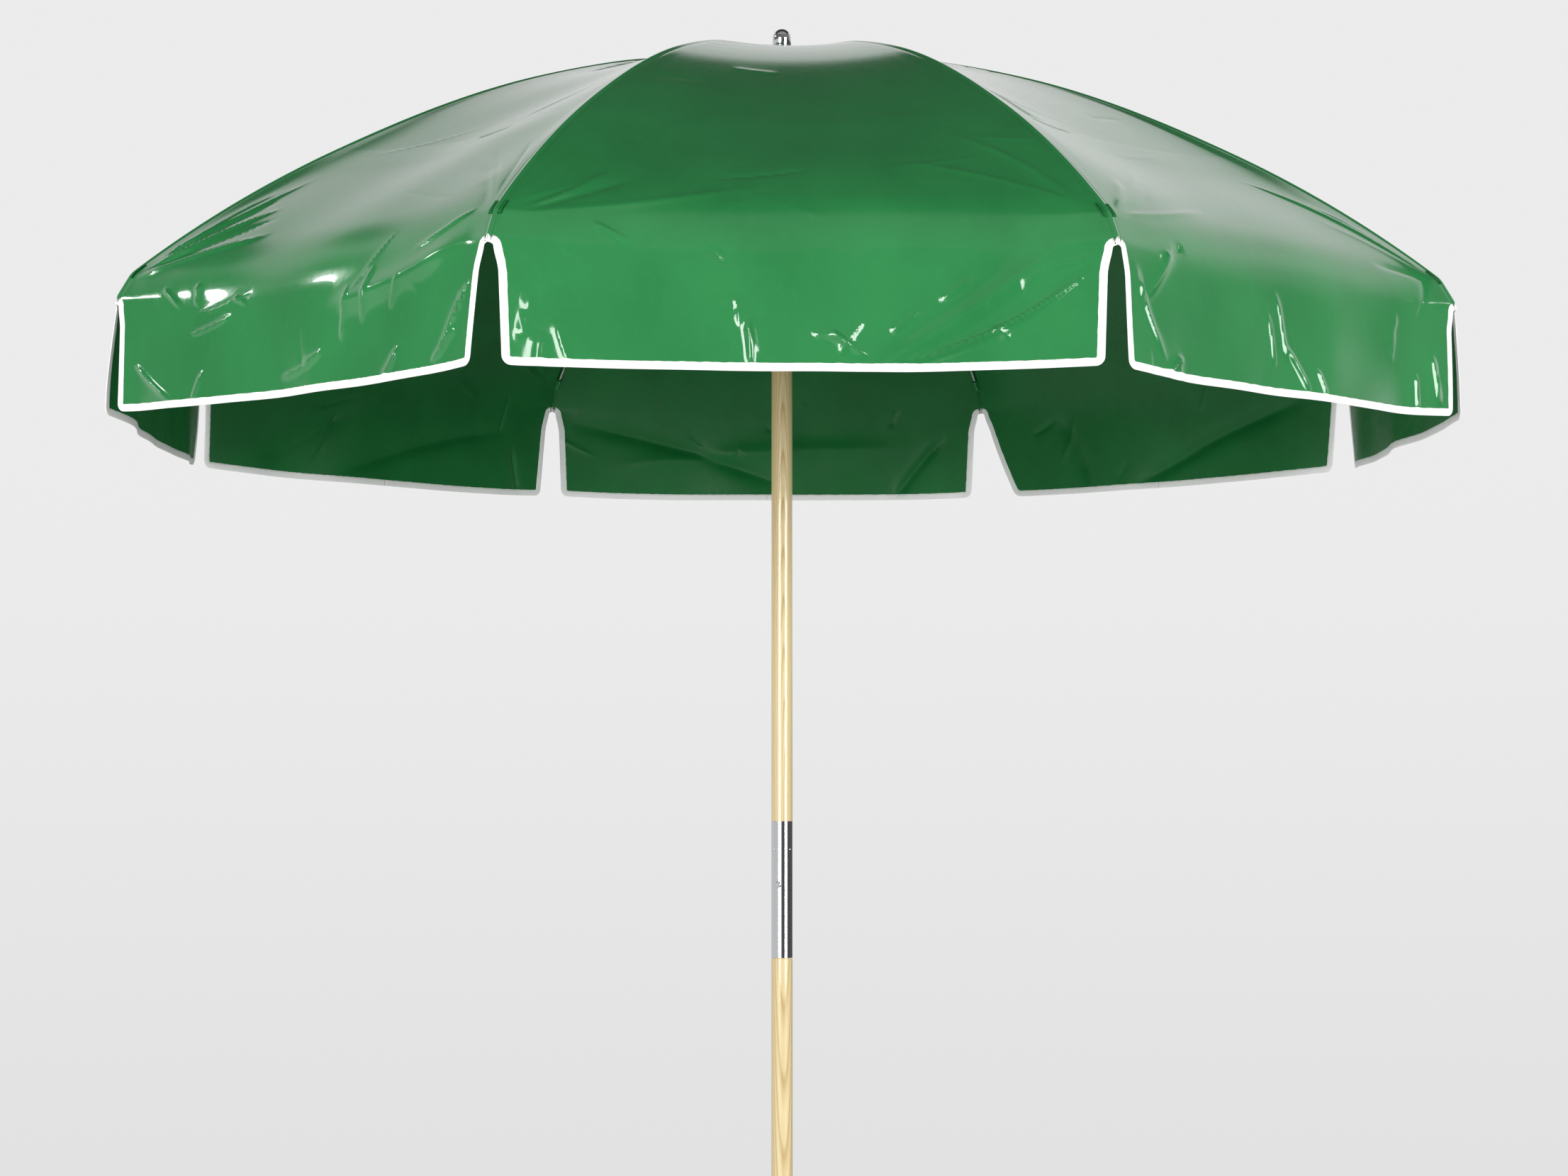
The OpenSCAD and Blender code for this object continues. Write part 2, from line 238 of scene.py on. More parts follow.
# Creases that stand out, by panel: start, end, width, height and bow. A place is in metres to the
# right of the panel's middle and up from the hem, and the bow is a share of the crease's length
MARKED = {
    0: (
        ((0.120, 0.004), (0.420, 0.150), 0.0055, 0.0062, 0.066),
        ((0.080, -0.010), (0.380, 0.185), 0.0190, 0.0085, 0.020),
        ((-0.073, -0.002), (-0.080, 0.075), 0.0065, 0.0065, 0.02),
        ((-0.088, 0.055), (-0.095, 0.105), 0.0050, 0.0030, 0.0),
        ((0.030, 0.060), (0.095, 0.015), 0.0060, 0.0050, 0.04),
        ((0.050, 0.020), (0.085, 0.070), 0.0055, 0.0045, -0.03),
        ((0.010, 0.050), (0.060, 0.042), 0.0060, 0.0035, 0.0),
        ((0.120, 0.050), (0.165, 0.085), 0.0060, 0.0038, 0.0),
        ((0.190, 0.095), (0.240, 0.130), 0.0055, 0.0036, 0.0),
        ((-0.235, 0.175), (-0.300, 0.215), 0.0070, 0.0025, 0.0),
        ((-0.372, -0.004), (-0.366, 0.045), 0.0090, 0.0050, 0.0),
        ((-0.400, 0.030), (-0.385, 0.110), 0.0060, 0.0030, 0.04),
    ),
    7: (
        ((0.080, 0.120), (0.400, 0.190), 0.0240, 0.0095, 0.03),
        ((0.130, 0.150), (0.120, 0.060), 0.0055, 0.0036, 0.0),
        ((0.180, 0.175), (0.165, 0.085), 0.0050, 0.0036, 0.0),
        ((0.250, 0.150), (0.230, 0.100), 0.0050, 0.0030, 0.0),
        ((0.350, 0.020), (0.410, 0.120), 0.0055, 0.0050, -0.04),
        ((0.330, 0.012), (0.385, 0.060), 0.0050, 0.0042, 0.0),
        ((0.220, 0.000), (0.255, 0.045), 0.0055, 0.0050, 0.04),
        ((-0.235, 0.150), (-0.250, 0.195), 0.0060, 0.0045, 0.0),
        ((-0.330, 0.190), (-0.270, 0.150), 0.0050, 0.0036, 0.0),
        ((-0.385, 0.075), (-0.270, 0.004), 0.0050, 0.0040, 0.03),
        ((-0.225, 0.000), (-0.205, 0.050), 0.0060, 0.0040, 0.0),
        ((-0.420, 0.215), (-0.160, 0.300), 0.0090, 0.0042, 0.0),
        ((-0.410, 0.225), (-0.190, 0.355), 0.0085, -0.0040, 0.0),
        ((-0.405, 0.230), (-0.215, 0.395), 0.0090, 0.0042, 0.0),
        ((-0.400, 0.235), (-0.255, 0.430), 0.0080, -0.0036, 0.0),
        ((-0.390, 0.240), (-0.290, 0.470), 0.0090, 0.0036, 0.0),
    ),
    1: (
        ((-0.385, 0.100), (-0.290, 0.200), 0.0090, 0.0045, 0.03),
        ((-0.400, 0.150), (-0.330, 0.020), 0.0060, 0.0040, 0.05),
        ((-0.330, 0.000), (-0.285, 0.030), 0.0055, 0.0055, -0.06),
        ((0.020, 0.000), (-0.035, 0.075), 0.0065, 0.0062, 0.03),
        ((-0.060, 0.035), (-0.070, 0.120), 0.0050, 0.0036, 0.0),
        ((-0.030, 0.050), (-0.045, 0.155), 0.0055, 0.0036, 0.0),
        ((0.060, 0.000), (0.040, 0.045), 0.0050, 0.0045, 0.0),
        ((0.330, 0.000), (0.326, 0.065), 0.0060, 0.0045, 0.0),
        ((0.385, 0.010), (0.370, 0.100), 0.0070, 0.0045, 0.0),
    ),
    3: (
        ((0.060, 0.000), (-0.360, 0.140), 0.0180, 0.0120, 0.03),
        ((0.240, 0.160), (0.160, 0.010), 0.0160, 0.0080, 0.03),
    ),
    4: (
        ((0.400, 0.150), (-0.060, 0.015), 0.0170, 0.0120, 0.03),
        ((0.330, 0.060), (-0.300, 0.100), 0.0210, -0.0080, 0.02),
        ((-0.260, -0.005), (-0.370, 0.130), 0.0130, 0.0095, 0.02),
    ),
    5: (
        ((0.120, 0.010), (-0.330, 0.130), 0.0170, 0.0110, 0.03),
        ((-0.360, 0.000), (-0.330, 0.100), 0.0100, 0.0055, 0.0),
        ((0.300, 0.020), (0.060, 0.150), 0.0220, 0.0060, 0.0),
    ),
}
FEATURES = [panel_features(g) for g in range(RIBS)]


def buckles(g, a, b):
    """Fine level ripples near the peak, where the cloth is pulled over the crown."""
    drift = 0.018 * np.sin(9 * a + 1.7 * g) + 0.012 * np.sin(23 * a + g)
    ripple = np.sin(2 * math.pi * (b + drift) / (36 * MM)) + 0.6 * np.sin(
        2 * math.pi * (b - 0.7 * drift) / (23 * MM) + g
    )
    patchy = 0.5 + 0.5 * np.sin(14 * a + 11 * b + 2.1 * g)
    window = smooth(b, 0.06, 0.16) * smooth(0.46 - b, 0.0, 0.2)
    return 0.42 * MM * ripple * patchy * window


def flap_waves(g, a, b):
    """Slow waves of the hanging valance, growing towards the hem."""
    rng = np.random.default_rng(300 + g)
    hang = np.clip((b - B_LIP + 0.01) / (B_HEM - B_LIP), 0, 1.1) ** 1.3
    total = np.zeros_like(a)
    for wavelength, height in ((0.52, 5.5), (0.31, 3.0), (0.19, 1.6)):
        lean = rng.uniform(-0.5, 0.5)
        phase = rng.uniform(0, 6.3)
        total += height * MM * np.sin(2 * math.pi * (a + lean * (b - B_LIP)) / wavelength + phase)
    corner = np.clip((np.abs(a) - 0.31) / 0.11, 0, 1) ** 2
    curl = np.where(a > 0, rng.uniform(-9, 11), rng.uniform(-9, 11)) * MM
    return hang * (total + curl * corner)


def relief(g, a, b):
    """Height of panel g's cloth over its smooth form."""
    width = half_width(b)
    v = np.clip(np.abs(a) / width, 0, 1)
    d = np.maximum(width - np.abs(a), 0)
    free = 1 - smooth(v, 0.86, 1.0) * (1 - smooth(b, B_LIP, B_LIP + 0.04))
    from_hub = smooth(b, 0.02, 0.22)
    slack = np.clip(b / 0.8, 0.4, 1) * (1 - 0.6 * smooth(b, 0.88, 1.16))
    height = -SAG * slack * (1 - v * v) * from_hub * (1 - 0.6 * smooth(b, B_BEND, B_HEM))
    height = height + LIFT * smooth(b, 0.08, 0.28) * (1 - smooth(b, 0.42, 0.80))
    loose = sum(f(a, b) for f in FEATURES[g])
    for start, end, size, rise, bow in MARKED.get(g, ()):
        low, high = (start[0], B_HEM - start[1]), (end[0], B_HEM - end[1])
        loose = loose + ridge(a, b, low, high, size, rise, bow)
    height = height + free * (from_hub * loose + buckles(g, a, b) + flap_waves(g, a, b))
    seam = 1.1 * MM * np.exp(-((d / (3.5 * MM)) ** 2)) - 0.5 * MM * np.exp(
        -(((d - 7 * MM) / (2 * MM)) ** 2)
    )
    return height + seam * (1 - smooth(b, B_LIP - 0.01, B_LIP + 0.01))


def panel_frame(g):
    """Outward and sideways directions of panel g: panel 0 faces the front."""
    turn = FRONT + SECTOR * g
    return (
        np.array([math.cos(turn), math.sin(turn), 0.0]),
        np.array([-math.sin(turn), math.cos(turn), 0.0]),
    )


def smooth_form(g, a, b):
    """Panel g without its relief."""
    v = np.clip(np.abs(a) / half_width(b), 0, 1.05)
    q = v**4
    r = (1 - q) * np.interp(b, B_TABLE, MID_R) + q * np.interp(b, B_TABLE, RIB_R)
    z = (1 - q) * np.interp(b, B_TABLE, MID_Z) + q * np.interp(b, B_TABLE, RIB_Z)
    out, side = panel_frame(g)
    reach = r * math.cos(HALF)
    return reach[..., None] * out + a[..., None] * side + z[..., None] * np.array([0, 0, 1.0])


PROBE = 0.6 * MM


def normals_of(form, g, a, b):
    """Unit normals of a form, from places a short way to each side."""
    down = form(g, a, b + PROBE) - form(g, a, b - PROBE)
    across = form(g, a + PROBE, b) - form(g, a - PROBE, b)
    n = np.cross(down, across)
    return n / np.linalg.norm(n, axis=-1, keepdims=True)


def cloth_at(g, a, b):
    """The canopy's outer surface on panel g."""
    a, b = np.broadcast_arrays(np.asarray(a, float), np.asarray(b, float))
    n = normals_of(smooth_form, g, a, b)
    return smooth_form(g, a, b) + relief(g, a, b)[..., None] * n


def cloth_and_normals(g, a, b):
    """Places on panel g's outer surface, and its unit normals there."""
    return cloth_at(g, a, b), normals_of(cloth_at, g, np.asarray(a, float), np.asarray(b, float))


# ---------------------------------------------------------------------------------------------------
# Meshes


def make_object(name, verts, faces, materials, material_index=None, normals=None, places=None):
    """A smooth-shaded mesh object, with the place of each vertex on its cloth as an attribute."""
    mesh = bpy.data.meshes.new(name)
    mesh.from_pydata(np.asarray(verts).tolist(), [], faces)
    for material in materials:
        mesh.materials.append(material)
    if material_index is not None:
        mesh.polygons.foreach_set("material_index", material_index)
    mesh.polygons.foreach_set("use_smooth", [True] * len(faces))
    if places is not None:
        attribute = mesh.attributes.new("place", "FLOAT_VECTOR", "POINT")
        attribute.data.foreach_set("vector", np.asarray(places, np.float32).ravel())
    mesh.update()
    if normals is not None:
        mesh.normals_split_custom_set_from_vertices(np.asarray(normals).tolist())
    obj = bpy.data.objects.new(name, mesh)
    bpy.context.scene.collection.objects.link(obj)
    return obj


def shell(name, outer, normals, places, thickness, materials):
    """A closed sheet from a grid of points: its outer face, its inner face and a rim."""
    rows, cols = outer.shape[:2]
    inner = outer - normals * thickness
    count = rows * cols
    index = np.arange(count).reshape(rows, cols)
    quads = np.stack(
        [index[:-1, :-1], index[1:, :-1], index[1:, 1:], index[:-1, 1:]], axis=-1
    ).reshape(-1, 4)
    edge = np.concatenate(
        [index[:, 0], index[-1, 1:], index[-2::-1, -1], index[0, -2:0:-1], index[:1, 0]]
    )
    rim = np.stack([edge[:-1], edge[:-1] + count, edge[1:] + count, edge[1:]], axis=-1)
    faces = np.concatenate([quads, quads[:, ::-1] + count, rim[:, ::-1]])
    marks = np.concatenate([np.zeros(len(quads)), np.ones(len(quads)), np.zeros(len(rim))])
    flat = normals.reshape(-1, 3)
    return make_object(
        name,
        np.concatenate([outer.reshape(-1, 3), inner.reshape(-1, 3)]),
        faces.tolist(),
        materials,
        marks.astype(int).tolist(),
        np.concatenate([flat, -flat]),
        np.concatenate([places.reshape(-1, 3)] * 2),
    )


def tube(name, rings, materials, places=None):
    """A closed loft through rings of points, capped at both ends."""
    count, sides = rings.shape[:2]
    index = np.arange(count * sides).reshape(count, sides)
    ahead = np.roll(index, -1, axis=1)
    walls = np.stack([index[:-1], ahead[:-1], ahead[1:], index[1:]], axis=-1).reshape(-1, 4)
    faces = walls.tolist() + [index[0, ::-1].tolist(), index[-1].tolist()]
    return make_object(name, rings.reshape(-1, 3), faces, materials, places=places)


def lathe(name, outline, materials, sides=96):
    """A solid turned about the pole's axis. Its outline of (radius, height) starts and ends there."""
    turns = np.linspace(0, 2 * math.pi, sides, endpoint=False)
    body = outline[1:-1]
    verts = [(0, 0, outline[0][1]), (0, 0, outline[-1][1])]
    for r, z in body:
        verts += [(r * math.cos(t), r * math.sin(t), z) for t in turns]
    index = np.arange(len(body) * sides).reshape(len(body), sides) + 2
    ahead = np.roll(index, -1, axis=1)
    faces = np.stack([index[:-1], ahead[:-1], ahead[1:], index[1:]], axis=-1).reshape(-1, 4).tolist()
    faces += [[0, int(ahead[0, k]), int(index[0, k])] for k in range(sides)]
    faces += [[1, int(index[-1, k]), int(ahead[-1, k])] for k in range(sides)]
    return make_object(name, verts, faces, materials)


# ---------------------------------------------------------------------------------------------------
# Materials


class Shader:
    """The node tree of a new material, with short calls for the nodes that the materials use."""

    def __init__(self, name):
        self.material = bpy.data.materials.new(name)
        self.material.use_nodes = True
        self.tree = self.material.node_tree
        self.bsdf = self.tree.nodes["Principled BSDF"]

    def node(self, kind, inputs=(), **settings):
        made = self.tree.nodes.new(kind)
        for key, value in settings.items():
            setattr(made, key, value)
        for key, value in dict(inputs).items():
            self.put(made.inputs[key], value)
        return made

    def put(self, socket, value):
        if isinstance(value, bpy.types.NodeSocket):
            self.tree.links.new(value, socket)
        else:
            socket.default_value = value

    def set(self, **values):
        for key, value in values.items():
            self.put(self.bsdf.inputs[key.replace("_", " ")], value)

    def math(self, operation, a, b=0.0):
        return self.node("ShaderNodeMath", {0: a, 1: b}, operation=operation).outputs[0]

    def object_place(self):
        return self.node("ShaderNodeTexCoord").outputs["Object"]

    def cloth_place(self):
        return self.node("ShaderNodeAttribute", attribute_name="place").outputs["Vector"]

    def scaled(self, vector, scale):
        made = self.node("ShaderNodeVectorMath", {0: vector, 1: scale}, operation="MULTIPLY")
        return made.outputs[0]

    def split(self, vector):
        return self.node("ShaderNodeSeparateXYZ", {0: vector}).outputs

    def noise(self, vector, scale, detail=3.0, roughness=0.5):
        inputs = {"Vector": vector, "Scale": scale, "Detail": detail, "Roughness": roughness}
        return self.node("ShaderNodeTexNoise", inputs).outputs["Fac"]

    def ramp(self, value, stops):
        """A colour ramp through (place, colour) stops, where a colour is a grey or three numbers."""
        made = self.node("ShaderNodeValToRGB", {0: value})
        elements = made.color_ramp.elements
        while len(elements) < len(stops):
            elements.new(0.5)
        for element, (at, colour) in zip(elements, stops):
            element.position = at
            rgb = colour if hasattr(colour, "__len__") else (colour,) * 3
            element.color = (*rgb, 1)
        return made.outputs["Color"]

    def span(self, value, low, high, to_low, to_high):
        made = self.node(
            "ShaderNodeMapRange", {0: value, 1: low, 2: high, 3: to_low, 4: to_high}
        )
        return made.outputs[0]

    def mix(self, share, first, second):
        made = self.node("ShaderNodeMix", data_type="RGBA")
        self.put(made.inputs["Factor"], share)
        self.put(made.inputs[6], first if not isinstance(first, tuple) else (*first, 1))
        self.put(made.inputs[7], second if not isinstance(second, tuple) else (*second, 1))
        return made.outputs[2]

    def bump(self, height, distance, below=None):
        inputs = {"Height": height, "Distance": distance, "Strength": 1.0}
        if below is not None:
            inputs["Normal"] = below
        return self.node("ShaderNodeBump", inputs).outputs["Normal"]

    def stitches(self, along, across, line, pitch):
        """1 on the stitches of a seam that runs along one direction at a distance across it."""
        gap = self.math("ABSOLUTE", self.math("SUBTRACT", across, line))
        near = self.math("LESS_THAN", gap, 0.45 * MM)
        phase = self.math("FRACT", self.math("DIVIDE", along, pitch))
        return self.math("MULTIPLY", near, self.math("LESS_THAN", phase, 0.72))


SEAM_LINE = 5.5 * MM
SEAM_PITCH = 3.4 * MM
THREAD = 1.1 * MM
TAPE_RIB = 0.9 * MM
TAPE_LINE = 8.6 * MM
TAPE_PITCH = 3.2 * MM
GROWTH_RING = 3.3 * MM

VINYL_GREEN = (0.0245, 0.222, 0.062)
VINYL_DEEP = (0.0195, 0.192, 0.052)
INSIDE_GREEN = (0.009, 0.152, 0.034)
INSIDE_DEEP = (0.007, 0.124, 0.027)


def vinyl_outside():
    """Glossy green vinyl with faint wear, a pebbled skin and stitches beside each seam."""
    s = Shader("vinyl_outside")
    place = s.cloth_place()
    _, b, d = s.split(place)
    tone = s.noise(place, 6.0, 4.0)
    colour = s.mix(s.span(tone, 0.35, 0.7, 0, 1), VINYL_GREEN, VINYL_DEEP)
    seam = s.stitches(b, d, SEAM_LINE, SEAM_PITCH)
    colour = s.mix(s.math("MULTIPLY", seam, 0.6), colour, (0.008, 0.09, 0.024))
    wear = s.ramp(s.noise(place, 46.0, 6.0, 0.65), [(0.56, 0.0), (0.74, 1.0)])
    colour = s.mix(s.math("MULTIPLY", wear, 0.10), colour, (0.055, 0.33, 0.11))
    grain = s.noise(place, 900.0, 2.0)
    pebble = s.noise(place, 95.0, 4.0, 0.6)
    s.set(
        Base_Color=colour,
        Roughness=s.span(pebble, 0.3, 0.7, 0.10, 0.18),
        Normal=s.bump(
            s.math("ADD", grain, s.math("MULTIPLY", seam, -2.0)),
            0.02 * MM,
            below=s.bump(pebble, 0.10 * MM),
        ),
    )
    s.bsdf.inputs["Coat Weight"].default_value = 0.7
    s.bsdf.inputs["Coat Roughness"].default_value = 0.04
    return s.material


def vinyl_inside():
    """The duller woven backing of the vinyl."""
    s = Shader("vinyl_inside")
    place = s.cloth_place()
    a, b, d = s.split(place)
    colour = s.mix(s.span(s.noise(place, 7.0, 4.0), 0.35, 0.7, 0, 1), INSIDE_GREEN, INSIDE_DEEP)
    threads = s.math(
        "ADD",
        s.math("SINE", s.math("MULTIPLY", a, 2 * math.pi / THREAD)),
        s.math("SINE", s.math("MULTIPLY", b, 2 * math.pi / THREAD)),
    )
    seam = s.stitches(b, d, SEAM_LINE, SEAM_PITCH)
    colour = s.mix(s.math("MULTIPLY", seam, 0.5), colour, (0.05, 0.25, 0.09))
    soft = s.noise(place, 70.0, 4.0, 0.6)
    s.set(
        Base_Color=colour,
        Roughness=s.span(soft, 0.3, 0.7, 0.36, 0.5),
        Normal=s.bump(threads, 0.012 * MM, below=s.bump(soft, 0.22 * MM)),
    )
    s.bsdf.inputs["Specular IOR Level"].default_value = 0.28
    return s.material


def white_tape():
    """Ribbed white binding tape, a little soiled, with one row of stitches."""
    s = Shader("white_tape")
    place = s.cloth_place()
    along, across, _ = s.split(place)
    ribs = s.math("SINE", s.math("MULTIPLY", along, 2 * math.pi / TAPE_RIB))
    seam = s.stitches(along, across, TAPE_LINE, TAPE_PITCH)
    soil = s.noise(place, 30.0, 5.0, 0.6)
    colour = s.mix(s.span(soil, 0.45, 0.8, 0, 0.35), (0.94, 0.94, 0.93), (0.82, 0.82, 0.79))
    colour = s.mix(s.math("MULTIPLY", seam, 0.35), colour, (0.62, 0.62, 0.60))
    s.set(
        Base_Color=colour,
        Roughness=s.span(soil, 0.3, 0.7, 0.42, 0.58),
        Normal=s.bump(s.math("ADD", ribs, s.math("MULTIPLY", seam, -3.0)), 0.03 * MM),
    )
    return s.material


def ash_wood(name, pith, lean, seed):
    """Wood whose growth rings are cones about a pith beside the pole, under a clear coat."""
    s = Shader(name)
    x, y, z = s.split(s.object_place())
    place = s.object_place()
    slow = s.noise(s.scaled(place, (9.0, 9.0, 1.1 + 0.1 * seed)), 1.0, 3.0)
    sway = s.math("MULTIPLY", s.math("SUBTRACT", slow, 0.5), 14 * MM)
    from_x = s.math("ADD", s.math("SUBTRACT", x, pith[0]), sway)
    from_y = s.math("SUBTRACT", s.math("ADD", y, s.math("MULTIPLY", z, lean)), pith[1])
    radius = s.math("SQRT", s.math("ADD", s.math("MULTIPLY", from_x, from_x),
                                   s.math("MULTIPLY", from_y, from_y)))
    ring = s.math("FRACT", s.math("DIVIDE", radius, GROWTH_RING))
    late = s.ramp(ring, [(0.0, 1.0), (0.16, 0.15), (0.55, 0.0), (0.84, 0.5), (1.0, 1.0)])
    fibre = s.noise(s.scaled(place, (1500.0, 1500.0, 14.0)), 1.0, 3.0, 0.6)
    tone = s.noise(s.scaled(place, (30.0, 30.0, 2.5)), 1.0, 2.0)
    pale = s.mix(s.span(tone, 0.3, 0.7, 0, 1), (0.80, 0.66, 0.375), (0.74, 0.59, 0.31))
    colour = s.mix(s.math("MULTIPLY", late, 0.85), pale, (0.50, 0.33, 0.12))
    colour = s.mix(s.math("MULTIPLY", fibre, 0.14), colour, (0.58, 0.42, 0.19))
    s.set(
        Base_Color=colour,
        Roughness=s.span(fibre, 0.2, 0.8, 0.32, 0.46),
        Normal=s.bump(fibre, 0.04 * MM, below=s.bump(late, 0.03 * MM)),
    )
    s.bsdf.inputs["Coat Weight"].default_value = 1.0
    s.bsdf.inputs["Coat Roughness"].default_value = 0.08
    return s.material


def metal(name, colour, low, high, brushed=False, spots=0.0):
    """A metal with fine scratches: round the piece if brushed, and in patches otherwise."""
    s = Shader(name)
    place = s.object_place()
    stretch = (60.0, 60.0, 2600.0) if brushed else (420.0, 420.0, 420.0)
    marks = s.noise(s.scaled(place, stretch), 1.0, 4.0, 0.65)
    haze = s.noise(place, 55.0, 5.0, 0.6)
    dull = tuple(0.62 * c for c in colour)
    tint = s.mix(s.math("MULTIPLY", s.ramp(haze, [(0.5, 0.0), (0.72, 1.0)]), spots), colour, dull)
    rough = s.math("ADD", s.span(marks, 0.3, 0.7, low, high), s.math("MULTIPLY", haze, 0.06))
    s.set(Base_Color=tint, Roughness=rough, Normal=s.bump(marks, 0.002 * MM))
    s.bsdf.inputs["Metallic"].default_value = 1.0
    return s.material


VINYL = [vinyl_outside(), vinyl_inside()]
TAPE = [white_tape()]
UPPER_WOOD = ash_wood("ash_upper", (4 * MM, 27 * MM), 0.040, 1)
LOWER_WOOD = ash_wood("ash_lower", (-9 * MM, 31 * MM), -0.026, 2)
CHROME = metal("chrome", (0.80, 0.81, 0.83), 0.03, 0.08, brushed=True)
BRIGHT = metal("bright_steel", (0.74, 0.74, 0.74), 0.14, 0.26, spots=0.3)
ZINC = metal("zinc_steel", (0.60, 0.61, 0.62), 0.24, 0.40, spots=0.6)
SPRING = metal("spring_steel", (0.50, 0.50, 0.51), 0.20, 0.34, brushed=True, spots=0.4)
CAST = metal("cast_metal", (0.66, 0.66, 0.67), 0.30, 0.48, spots=0.5)

CAD_FINISH = {
    "upper_pole": UPPER_WOOD,
    "lower_pole": LOWER_WOOD,
    "ferrule": CHROME,
    "snap_button": CHROME,
    "rib_tip": BRIGHT,
    "crown": CAST,
    "runner": CAST,
    "rib": ZINC,
    "stretcher": ZINC,
    "button_spring": SPRING,
    "top_catch": SPRING,
}


def finish_of(node):
    """The finish of a CAD node, by its name without its number."""
    kind = node.rstrip("0123456789").rstrip("_")
    return CAD_FINISH.get(kind, BRIGHT)


for name, node in frame["nodes"].items():
    for material_slot in node.material_slots:
        material_slot.material = finish_of(name)

# ---------------------------------------------------------------------------------------------------
# Canopy: roof sectors, valance flaps and binding

ROW_STEP = 7 * MM
NOTCH_R = 9 * MM
NOTCH_ARCH = 6 * MM
NOTCH_SPREAD = 8 * MM
SPLAY_REACH = 160 * MM
CORNER_R = 12 * MM


def spread(fine, end, step):
    """Places from a fine start to an end, in about equal steps after the fine part."""
    count = max(2, int(round((end - fine[-1]) / step)) + 1)
    return np.concatenate([fine[:-1], np.linspace(fine[-1], end, count)])


def rib_frame(i):
    """Outward and sideways directions of rib i."""
    turn = FRONT - HALF + SECTOR * i
    return Vector((math.cos(turn), math.sin(turn), 0)), Vector((-math.sin(turn), math.cos(turn), 0))


def notch_half(b, splay=0.0):
    """Half of the notch's width: a flat round top, then sides that spread towards the hem."""
    below = np.clip(b - B_NOTCH, 0, None)
    arch = NOTCH_R * np.sqrt(1 - (1 - np.clip(below / NOTCH_ARCH, 0, 1)) ** 3)
    spread_out = NOTCH_SPREAD * smooth(below, 0, 42 * MM) + 0.065 * np.clip(below - 35 * MM, 0, None)
    return arch + spread_out + splay * (below / SPLAY_REACH) ** 1.4


def panel_side(i, side):
    """The panel on one side of rib i, and which of its halves that is: side -1 is the left."""
    return ((i - 1) % RIBS, 1) if side < 0 else (i % RIBS, -1)


ROOF_SHARES = np.concatenate([[0, 0.004, 0.008, 0.012, 0.017, 0.024, 0.033], np.linspace(0.045, 1, 80)])
ROOF_ROWS = np.concatenate(
    [np.arange(0, B_BEND - 50 * MM, ROW_STEP), np.linspace(B_BEND - 50 * MM, B_LIP, 28)]
)


def roof_half(i, side):
    """Points, normals and places of half of roof sector i, from the rib to the panel's middle."""
    g, sign = panel_side(i, side)
    b = np.repeat(ROOF_ROWS[:, None], len(ROOF_SHARES), 1)
    width = half_width(b)
    d = ROOF_SHARES[None, :] * width
    a = sign * (width - d)
    points, normals = cloth_and_normals(g, a, b)
    return points, normals, np.stack([a, b, d], axis=-1)


def roof(i):
    """The roof on both sides of rib i, in one piece over the rib."""
    left, right = roof_half(i, -1), roof_half(i, 1)
    parts = [np.concatenate([l[:, :0:-1], r], axis=1) for l, r in zip(left, right)]
    seam = len(ROOF_SHARES) - 1
    both = left[1][:, 0] + right[1][:, 0]
    parts[1][:, seam] = both / np.linalg.norm(both, axis=-1, keepdims=True)
    piece = shell(f"roof_{i}", *parts, CLOTH, VINYL)
    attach(piece, f"rib_{i}")
    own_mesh(piece)
    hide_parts(f"canopy_{i}")
    return piece


FLAP_X = spread(np.array([0, 0.3, 1, 2.2, 4, 6.5, 9, 12, 17, 24, 33, 43]) * MM, 411 * MM, 3.6 * MM)
FLAP_SHARES = FLAP_X / FLAP_X[-1]
FLAP_DOWN = spread(
    np.array([0, 4, 8, 8.15, 8.5, 9, 10, 11.5, 13.5, 16, 20, 26]) * MM, B_HEM - B_LIP, 4 * MM
)
FLAP_ROWS = FLAP_DOWN / FLAP_DOWN[-1]


# Half flaps whose edge is folded back at the notch, by rib and side, and by how much at the hem
SPLAYED = {(4, -1): 58 * MM, (3, 1): 16 * MM}


def flap_place(down, share, splay):
    """Distance from the rib and profile length of a place on a flap, by its shares down and across."""
    width = float(half_width(B_HEM))
    cut = notch_half(B_HEM, splay)
    x = share * (width - cut)
    v = 1 - (x + cut) / width
    corner = CORNER_R - np.sqrt(CORNER_R**2 - np.clip(CORNER_R - x, 0, None) ** 2)
    b = B_LIP + down * (hem_at(v) - corner - B_LIP)
    cut = notch_half(b, splay)
    return cut + share * (half_width(b) - cut), b


def flap(i, side):
    """The half of the valance on one side of rib i."""
    g, sign = panel_side(i, side)
    down, share = np.meshgrid(FLAP_ROWS, FLAP_SHARES, indexing="ij")
    d, b = flap_place(down, share, SPLAYED.get((i, side), 0.0))
    a = sign * (half_width(b) - d)
    points, normals = cloth_and_normals(g, a, b)
    parts = [points, normals, np.stack([a, b, d], axis=-1)]
    if side < 0:
        parts = [p[:, ::-1] for p in parts]
    word = "left" if side < 0 else "right"
    return shell(f"valance_{i}_{word}", *parts, CLOTH, VINYL)


TAPE_SECTION = np.array(
    [
        (11.0, 0.02), (10.7, 0.45), (8.6, 0.6), (4.0, 0.75), (1.0, 0.7), (-0.3, 0.45), (-0.8, -0.1),
        (-0.8, -0.7), (-0.3, -1.25), (1.0, -1.5), (4.0, -1.55), (8.6, -1.4), (10.7, -1.25), (11.0, -0.82),
    ]
) * MM


